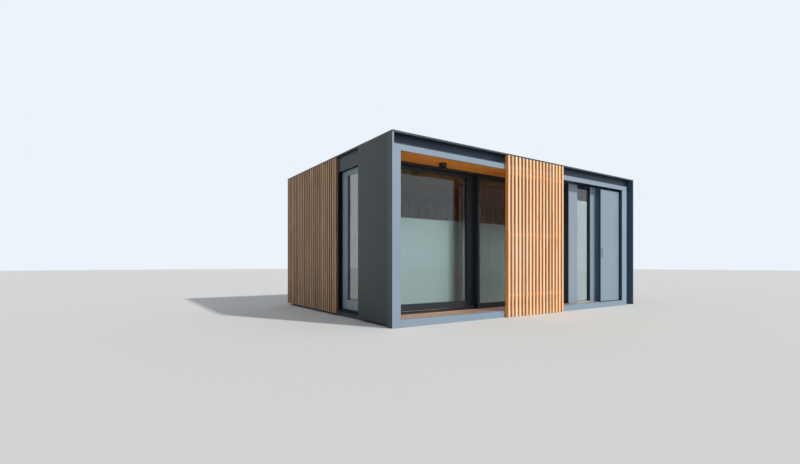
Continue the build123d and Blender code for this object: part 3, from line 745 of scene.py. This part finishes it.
@dataclass
class Finishes:
    """The finishes of the house: one for each of the record's slots, and a few of their own.

    Attributes:
        soffit_dark_start: How far right of the screen the soffit turns one dark colour.
        special: The nodes whose finish isn't their slot's.
        made: The materials by name.
    """

    soffit_dark_start: float = 0.06
    special: dict[str, str] = field(default_factory=lambda: {
        "right_battens": "aged_cedar_right", "return_panel": "return_painted_light", "edge_plates": "plate_painted_sun_and_shade",
        "door_pull": "pull_painted_sun", "window_glass": "side_glazing", "door_posts": "slot_painted_light",
        "hinge_plates": "hinge_steel", "hinge_leaves": "hinge_steel",
    })
    made: dict[str, bpy.types.Material] = field(default_factory=dict)

    def build(self) -> None:
        """Make every material once."""
        for finish in (*self.paints(), *self.timbers(), *self.others()):
            self.made[finish.name] = finish.make()
        LOG.info("%d finishes made", len(self.made))

    def paints(self) -> list[Finish]:
        """List the painted finishes.

        Returns:
            The finishes.
        """
        return [
            # These three pale coats are the dark blue-grey coat painted as lit by the sun; the darker second
            # colour of the first two is painted shade on faces that don't look forward
            PaintFinish("frame_paint", (142, 161, 178), (130, 149, 168), painted_shade=(42, 58, 74)),
            PaintFinish("panel_paint", (143, 161, 175), (132, 151, 165), painted_shade=(50, 68, 84)),
            PaintFinish("pull_painted_sun", (143, 161, 175), (132, 151, 165)),
            PaintFinish("dark_paint", (46, 56, 58), (38, 48, 50), sheen=0.3),
            PaintFinish("fascia_paint", (32, 55, 76), (28, 48, 67)),
            # The fascia's navy made lighter for the return panel and the door posts: painted light on faces
            # that lie in shade
            PaintFinish("return_painted_light", (84, 108, 132), (75, 98, 121)),
            PaintFinish("slot_painted_light", (66, 101, 129), (58, 90, 116)),
            # Its darker second colour is painted shade on every face of the trim that doesn't look forward
            PaintFinish("edge_paint", (50, 61, 66), (43, 53, 58), painted_shade=(30, 38, 42), lit_tops=False),
            # The plates' pale front is painted sunlight and their second colour painted shade; on the right
            # half a dark front is painted shadow and a lighter, bluer second colour painted shade
            PaintFinish(
                "plate_painted_sun_and_shade", (150, 165, 176), (138, 152, 164),
                painted_shade=(46, 57, 60), right=((44, 58, 74), (72, 100, 124)), lit_tops=False,
            ),
            # The near-white ledge colour is painted sunlight
            PaintFinish("sill_painted_sun", (214, 221, 224), (202, 210, 214)),
            # A near-black copy of the coat: painted shade for reveals and recesses
            PaintFinish("reveal_paint", (9, 28, 43), (7, 23, 37), sheen=0.05),
            # The side window's sash and bead are pale as a painted reflection of the bright surround on
            # their dark coat
            PaintFinish("sash_paint", (146, 162, 170), (132, 149, 157)),
            # The coat made darker than its own colour: partly its own colour, partly painted shade on the
            # frames in the recesses
            PaintFinish("window_paint", (34, 42, 49), (28, 35, 42)),
            PaintFinish("black_metal", (26, 27, 29), (34, 35, 37), roughness=0.5, peel=0.0001),
        ]

    def timbers(self) -> list[Finish]:
        """List the finishes of slats and boards.

        Returns:
            The finishes.
        """
        screen = Span.of("screen_battens")
        soffit = Span.of("porch_soffit")
        deck = Span.of("porch_deck")
        # Each side colour is painted shade and bounce light on the faces between slats
        return [
            TimberFinish(
                "cedar", (255, 236, 204), (254, 214, 160), (226, 158, 96), Axis.Z, Axis.X,
                screen.pitch(Axis.X, SCREEN_SLATS), screen.low.x - SLAT_MARGIN,
                spread=0.42, knots=0.5, side=(255, 184, 112),
            ),
            self.side_slats("aged_cedar", "left_battens", LEFT_SLATS, 31.0),
            self.side_slats("aged_cedar_right", "right_battens", RIGHT_SLATS, 77.0),
            TimberFinish(
                "soffit_wood", (255, 182, 80), (254, 152, 46), (192, 92, 24), Axis.X, Axis.Y,
                SOFFIT_PITCH, soffit.low.y + SOFFIT_GROOVE / 2,
                spread=0.3, knots=0.6, seed=5.0, joint=0.01, stop=screen.high.x + self.soffit_dark_start,
            ),
            TimberFinish(
                "deck_wood", (212, 172, 148), (190, 140, 112), (128, 84, 62), Axis.X, Axis.Y,
                DECK_PITCH, deck.low.y + DECK_GROOVE / 2, spread=0.4, weather=0.2, seed=11.0, joint=0.005,
            ),
            TimberFinish(
                "floor_wood", (196, 164, 124), (178, 140, 98), (122, 88, 58), Axis.X, Axis.Y,
                FLOOR_PITCH, deck.low.y, spread=0.4, seed=17.0, joint=0.003,
            ),
        ]

    def side_slats(self, name: str, node: str, slats: int, seed: float) -> Finish:
        """Describe the weathered slats of one side wall.

        Args:
            name: The name of the finish.
            node: The CAD node of the slats.
            slats: How many there are.
            seed: Which chance tones they get.

        Returns:
            The finish.
        """
        span = Span.of(node)
        # The side colour is painted shade and bounce light on the faces between slats
        return TimberFinish(
            name, (214, 184, 148), (192, 146, 102), (112, 76, 50), Axis.Z, Axis.Y,
            span.pitch(Axis.Y, slats), span.low.y - SLAT_MARGIN,
            spread=0.8, weather=0.35, seed=seed, side=(222, 190, 166),
        )

    def others(self) -> list[Finish]:
        """List the finishes of linings, sheets, blinds, panes and steel.

        Returns:
            The finishes.
        """
        walls = Span.of("back_wall")
        middle_y = (Span.of("left_front_wall").low.y + walls.high.y) / 2
        return [
            LiningFinish(
                "wall_core", (176, 146, 112), (150, 114, 80), (24, 25, 27),
                walls.size(Axis.X) / 2, walls.high.y - middle_y, middle_y,
            ),
            SheetFinish("base", (58, 60, 62), (92, 90, 86), share=0.4),
            SheetFinish("membrane", (74, 77, 80), (98, 98, 95), share=0.3, depth=0.0005),
            SheetFinish("gasket", (18, 18, 19), (30, 30, 30), share=0.3, grain=400.0, depth=0.0001),
            BlindFinish("porch_blind", (122, 140, 142), (114, 132, 135)),
            BlindFinish("bay_blind", (142, 153, 157), (133, 145, 150)),
            GlassFinish("glazing"),
            GlassFinish("side_glazing", ior=2.1),
            MetalFinish("steel", (186, 186, 182), (150, 150, 147)),
            MetalFinish("hinge_steel", (92, 96, 100), (72, 76, 80)),
        ]

    def dress_nodes(self, nodes: dict[str, bpy.types.Object], subparts: list[dict]) -> None:
        """Give every CAD node the finish of its slot, or the one of its own.

        Args:
            nodes: The CAD nodes by name.
            subparts: The record's list of nodes and slots.
        """
        slots = {part["node"]: part["material_slot"] for part in subparts}
        slots.update(self.special)
        for name, node in nodes.items():
            finish = slots[name]
            if not node.material_slots:
                node.data.materials.append(self.made[finish])
            for place in node.material_slots:
                place.material = self.made[finish]
            LOG.info("%s is dressed in %s", name, finish)

    def get(self, name: str) -> bpy.types.Material:
        """Return a material by its name."""
        return self.made[name]


@dataclass
class Fitting(ABC):
    """A group of pieces that the scene adds to the house."""

    finishes: Finishes

    @abstractmethod
    def build(self) -> None:
        """Make the pieces."""


@dataclass
class Glazing(Fitting):
    """The rubber gaskets round each pane, the side window's bead and the bay's ledge.

    Attributes:
        width: How wide a gasket is.
        rise: How far it stands on the glass.
        bead: How wide the bead is.
        bead_rise: How far it stands on the glass.
        ledge: How high the ledge is.
        ledge_inset: How far it stays inside the recess at its ends and its front.
        ledge_gap: How far it stays before the window's frame.
        ease: How far the ledge's edges are eased.
    """

    width: float = 0.006
    rise: float = 0.004
    bead: float = 0.016
    bead_rise: float = 0.009
    ledge: float = 0.015
    ledge_inset: float = 0.004
    ledge_gap: float = 0.0005
    ease: float = 0.002

    def build(self) -> None:
        """Make a gasket on both sides of every pane, the side window's bead and the bay's ledge."""
        self.gasket("leaf_gaskets", "leaf_glass", Axis.Y, Body.LEAF)
        self.gasket("fixed_gaskets", "fixed_glass", Axis.Y, Body.HOUSE)
        self.gasket("bay_gaskets", "bay_window_glass", Axis.Y, Body.HOUSE)
        self.gasket("window_gaskets", "window_glass", Axis.X, Body.HOUSE)
        self.beads()
        self.sill_ledge()

    def gasket(self, name: str, pane: str, facing: Axis, body: Body) -> None:
        """Make the two gaskets of one pane.

        Args:
            name: The name of the new piece.
            pane: The CAD node of the pane.
            facing: The axis that the pane faces along.
            body: The body that carries it.
        """
        span = Span.of(pane)
        piece = Piece(name)
        for side in (span.low[facing.value] - self.rise, span.high[facing.value]):
            low = list(span.low)
            high = list(span.high)
            low[facing.value] = side
            high[facing.value] = side + self.rise
            piece.ring(tuple(low), tuple(high), facing, self.width)
        piece.finish(body, Slot.MEMBRANE, self.finishes.get("gasket"))

    def beads(self) -> None:
        """Make the glazing bead round the outside of the side window's pane, pale in the sash's colour as a
        painted reflection.
        """
        span = Span.of("window_glass")
        piece = Piece("window_beads")
        low = (span.low.x - self.bead_rise, span.low.y, span.low.z)
        high = (span.low.x - self.rise, span.high.y, span.high.z)
        piece.ring(low, high, Axis.X, self.bead)
        piece.finish(Body.HOUSE, Slot.SASH_PAINT, self.finishes.get("sash_paint"))

    def sill_ledge(self) -> None:
        """Make the ledge in the recess at the foot of the bay's pane, near white as painted sunlight."""
        window = Span.of("bay_window_frame")
        front = Span.of("bay_panels").low.y
        inset = self.ledge_inset
        piece = Piece("bay_ledge")
        low = (window.low.x + inset, front + inset, window.low.z)
        high = (window.high.x - inset, window.low.y - self.ledge_gap, window.low.z + self.ledge)
        piece.box(low, high, self.ease)
        piece.finish(Body.HOUSE, Slot.PANEL_PAINT, self.finishes.get("sill_painted_sun"))


@dataclass
class Blinds(Fitting):
    """The pale panel blinds that cover the lower part of the front panes from inside.

    Attributes:
        sheet: How thick a panel is.
        rail: How thick and how high its rails are.
        gap: How far a blind stays from the floor and from the bay's pane.
        lap: How far the leaf's blind laps over the fixed one beside it.
        leaf_behind: How far the leaf's blind stands behind the porch posts.
        porch_behind: How far the fixed one stands behind them.
        porch_top: How high the two blinds of the porch reach, at the line where the beam's shadow
            falls, so that their top edges stand in for that shadow.
        bay_top: How high the bay's blind reaches, likewise at the beam's shadow line.
        ease: How far the edges of the rails are eased.
    """

    sheet: float = 0.003
    rail: float = 0.016
    gap: float = 0.005
    lap: float = 0.04
    leaf_behind: float = 0.185
    porch_behind: float = 0.215
    porch_top: float = 1.507
    bay_top: float = 1.985
    ease: float = 0.002

    def build(self) -> None:
        """Make the panel that slides with the leaf, the fixed one beside it and the bay's."""
        leaf = Span.of("leaf_frame")
        fixed = Span.of("fixed_frame")
        pane = Span.of("bay_window_glass")
        posts_back = Span.of("porch_posts").high.y
        tall = (Span.of("interior_floor").high.z + self.gap, self.porch_top)
        wide = (leaf.low.x, leaf.high.x + self.lap)
        self.blind("leaf_blind", wide, posts_back + self.leaf_behind, tall, Body.LEAF, "porch_blind")
        wide = (leaf.high.x, fixed.high.x)
        self.blind("porch_blind", wide, posts_back + self.porch_behind, tall, Body.HOUSE, "porch_blind")
        tall = (pane.low.z + self.gap, self.bay_top)
        wide = (pane.low.x + self.gap, pane.high.x - self.gap)
        self.blind("bay_blind", wide, pane.high.y + self.gap, tall, Body.HOUSE, "bay_blind")

    def blind(self, name: str, wide: Pair, y: float, tall: Pair, body: Body, finish: str) -> None:
        """Make one blind, a sheet between a rail at its foot and one at its head.

        Args:
            name: The name of the new piece.
            wide: Its left and right ends.
            y: Where its front lies.
            tall: Its lower and upper edges.
            body: The body that it moves with.
            finish: The name of its finish.
        """
        piece = Piece(name)
        piece.box((wide[0], y, tall[0]), (wide[1], y + self.sheet, tall[1]))
        for low in (tall[0], tall[1] - self.rail):
            piece.box((wide[0], y + self.sheet, low), (wide[1], y + self.rail, low + self.rail), self.ease)
        piece.finish(body, Slot.PANEL_PAINT, self.finishes.get(finish))


@dataclass
class Lights(Fitting):
    """The lens and baffle inside each surface light of the porch.

    Attributes:
        radius: The radius of a light.
        inset: How far above its mouth the middle of the lens lies.
        lens: The radius of the lens and how thick it is.
        rim: The radius of the baffle behind it and how thick that is.
        rim_lift: How far the baffle lies above the lens.
        sides: How many sides both have.
    """

    radius: float = 0.055
    inset: float = 0.018
    lens: Pair = (0.042, 0.006)
    rim: Pair = (0.049, 0.004)
    rim_lift: float = 0.002
    sides: int = 32

    def build(self) -> None:
        """Make the lenses and the baffles."""
        span = Span.of("downlights")
        middle_y = (span.low.y + span.high.y) / 2
        z = span.low.z + self.inset
        lenses = Piece("light_lenses")
        rims = Piece("light_rims")
        for x in (span.low.x + self.radius, span.high.x - self.radius):
            lenses.disc((x, middle_y, z), Axis.Z, *self.lens, self.sides)
            rims.disc((x, middle_y, z + self.rim_lift), Axis.Z, *self.rim, self.sides)
        rims.finish(Body.HOUSE, Slot.BLACK_METAL, self.finishes.get("black_metal"))
        lenses.finish(Body.HOUSE, Slot.GLAZING, self.finishes.get("glazing"))


@dataclass
class Screws(Fitting):
    """Screw heads in the back of the screen's frame and along the deck's boards.

    Attributes:
        radius: The radius of a head.
        rise: How thick it is.
        low_rail: How high the middle of the screen's lowest rail lies.
        high_rail_drop: How far the middle of its highest rail lies below the soffit.
        deck_boards: How many boards of the deck show screws.
        pairs: How many pairs of screws stand along a board.
        first_pair: How far the first pair lies from the deck's left end.
        pair_pitch: How far apart the pairs are.
        off_middle: How far a screw stands from the middle of its board.
    """

    radius: float = 0.0045
    rise: float = 0.0016
    low_rail: float = 0.3325
    high_rail_drop: float = 0.0515
    deck_boards: int = 3
    pairs: int = 9
    first_pair: float = 0.1
    pair_pitch: float = 0.43
    off_middle: float = 0.03

    def build(self) -> None:
        """Make the screws of the screen and the deck."""
        self.screen()
        self.deck()

    def screen(self) -> None:
        """Put a screw behind every slat at the height of each rail."""
        span = Span.of("screen_battens")
        back = Span.of("screen_rails").high.y
        high_rail = Span.of("porch_soffit").low.z - self.high_rail_drop
        pitch = span.pitch(Axis.X, SCREEN_SLATS)
        piece = Piece("screen_screws")
        for index in range(SCREEN_SLATS):
            x = span.low.x + index * pitch + SLAT_WIDTH / 2
            for z in (self.low_rail, (self.low_rail + high_rail) / 2, high_rail):
                piece.disc((x, back, z), Axis.Y, self.radius, self.rise)
        piece.finish(Body.HOUSE, Slot.STEEL, self.finishes.get("steel"))

    def deck(self) -> None:
        """Put pairs of screws along the boards of the porch deck."""
        span = Span.of("porch_deck")
        piece = Piece("deck_screws")
        for board in range(self.deck_boards):
            y = span.low.y + (board + 0.5) * DECK_PITCH
            for pair in range(self.pairs):
                x = span.low.x + self.first_pair + pair * self.pair_pitch
                for side in (-self.off_middle, self.off_middle):
                    piece.disc((x, y + side, span.high.z), Axis.Z, self.radius, self.rise)
        piece.finish(Body.HOUSE, Slot.STEEL, self.finishes.get("steel"))


@dataclass
class Roof(Fitting):
    """The lapped seams of the roof sheet and the strip along its edge.

    Attributes:
        seams: How many seams it has.
        lap: How wide a seam is.
        strip: How wide the strip is.
        rise: How far both stand on the sheet.
        ease: How far the edges of a seam are eased.
    """

    seams: int = 3
    lap: float = 0.06
    strip: float = 0.05
    rise: float = 0.003
    ease: float = 0.001

    def build(self) -> None:
        """Make the seams and the strip along the trim."""
        span = Span.of("roof_membrane")
        low = span.high.z
        high = low + self.rise
        step = span.size(Axis.X) / (self.seams + 1)
        seams = Piece("roof_seams")
        for index in range(self.seams):
            x = span.low.x + (index + 1) * step
            seams.box((x - self.lap / 2, span.low.y, low), (x + self.lap / 2, span.high.y, high), self.ease)
        seams.finish(Body.HOUSE, Slot.MEMBRANE, self.finishes.get("membrane"))
        edge = Piece("roof_edge_strip")
        edge.ring((span.low.x, span.low.y, low), (span.high.x, span.high.y, high), Axis.Z, self.strip)
        edge.finish(Body.HOUSE, Slot.MEMBRANE, self.finishes.get("membrane"))


@dataclass
class Stage:
    """The plain pale floor, the soft light and the camera.

    Attributes:
        floor: The colour of the floor.
        floor_radius: How far the floor reaches.
        sky: The colour of the surround.
        glow: How strongly the surround lights the house.
        seen: How bright it shows to the camera, in reflections and through glass.
        sun_strength: How strong the sun is.
        sun_tint: Its colour.
        sun_spread: How many degrees wide it is.
        sun_side: How many degrees to the right of the front it stands.
        sun_rise: How many degrees above the ground it stands.
        eye: Where the camera is.
        turn: How many degrees it turns left from looking straight back.
        lens: Its focal length in millimetres.
        film: How wide its film is in millimetres.
        shift: How far the view is shifted up, in widths of the film.
        reach: How far the camera sees.
    """

    floor: Colour = (226, 226, 224)
    floor_radius: float = 60.0
    sky: Colour = (236, 243, 250)
    glow: float = 0.45
    seen: float = 1.0
    sun_strength: float = 2.3
    sun_tint: Point = (1.0, 0.97, 0.93)
    sun_spread: float = 2.5
    sun_side: float = 28.0
    sun_rise: float = 38.5
    eye: Point = (-5.823, -6.351, 0.818)
    turn: float = -34.18
    lens: float = 19.21
    film: float = 36.0
    shift: float = 0.0394
    reach: float = 300.0

    def build(self) -> None:
        """Make the floor, the lights and the camera."""
        self.lay_floor()
        self.surround()
        self.hang_sun()
        self.place_camera()

    def lay_floor(self) -> None:
        """Lay a large pale floor."""
        mesh = bmesh.new()
        bmesh.ops.create_circle(mesh, cap_ends=True, segments=64, radius=self.floor_radius)
        data = bpy.data.meshes.new("floor")
        mesh.to_mesh(data)
        mesh.free()
        graph = Graph("floor")
        graph.set(Base_Color=linear(self.floor), Roughness=0.9)
        data.materials.append(graph.material)
        floor = bpy.data.objects.new("floor", data)
        bpy.context.scene.collection.objects.link(floor)

    def surround(self) -> None:
        """Set the house in a pale surround that shows brighter than it lights."""
        world = bpy.data.worlds.new("studio")
        bpy.context.scene.world = world
        world.use_nodes = True
        tree = world.node_tree
        tree.nodes.clear()
        path = tree.nodes.new("ShaderNodeLightPath")
        share = path.outputs["Is Camera Ray"]
        for ray in ("Is Glossy Ray", "Is Transmission Ray"):
            either = tree.nodes.new("ShaderNodeMath")
            either.operation = "MAXIMUM"
            tree.links.new(share, either.inputs[0])
            tree.links.new(path.outputs[ray], either.inputs[1])
            share = either.outputs[0]
        mixed = tree.nodes.new("ShaderNodeMixShader")
        tree.links.new(share, mixed.inputs[0])
        for index, strength in ((1, self.glow), (2, self.seen)):
            background = tree.nodes.new("ShaderNodeBackground")
            background.inputs[0].default_value = linear(self.sky)
            background.inputs[1].default_value = strength
            tree.links.new(background.outputs[0], mixed.inputs[index])
        output = tree.nodes.new("ShaderNodeOutputWorld")
        tree.links.new(mixed.outputs[0], output.inputs[0])

    def hang_sun(self) -> None:
        """Light the house by a soft sun from the front right."""
        sun = bpy.data.lights.new("sun", "SUN")
        sun.energy = self.sun_strength
        sun.angle = math.radians(self.sun_spread)
        sun.color = self.sun_tint
        lamp = bpy.data.objects.new("sun", sun)
        bpy.context.scene.collection.objects.link(lamp)
        side = math.radians(self.sun_side)
        rise = math.radians(self.sun_rise)
        towards = Vector((math.sin(side) * math.cos(rise), -math.cos(side) * math.cos(rise), math.sin(rise)))
        lamp.rotation_euler = towards.to_track_quat("Z", "Y").to_euler()

    def place_camera(self) -> None:
        """Set the camera at the photograph's viewing point."""
        data = bpy.data.cameras.new("camera")
        data.lens = self.lens
        data.sensor_width = self.film
        data.shift_y = self.shift
        data.clip_end = self.reach
        camera = bpy.data.objects.new("camera", data)
        camera.location = self.eye
        camera.rotation_euler = (math.radians(90), 0.0, math.radians(self.turn))
        bpy.context.scene.collection.objects.link(camera)
        bpy.context.scene.camera = camera


def main() -> None:
    """Build the looks of the house in order."""
    logging.basicConfig(level=logging.INFO, format="%(message)s")
    bpy.context.scene.view_settings.view_transform = "Standard"
    finishes = Finishes()
    finishes.build()
    finishes.dress_nodes(frame["nodes"], frame["record"]["subparts"])
    for fitting in (Glazing(finishes), Blinds(finishes), Lights(finishes), Screws(finishes), Roof(finishes)):
        fitting.build()
    Stage().build()


if __name__ == "__main__":
    main()
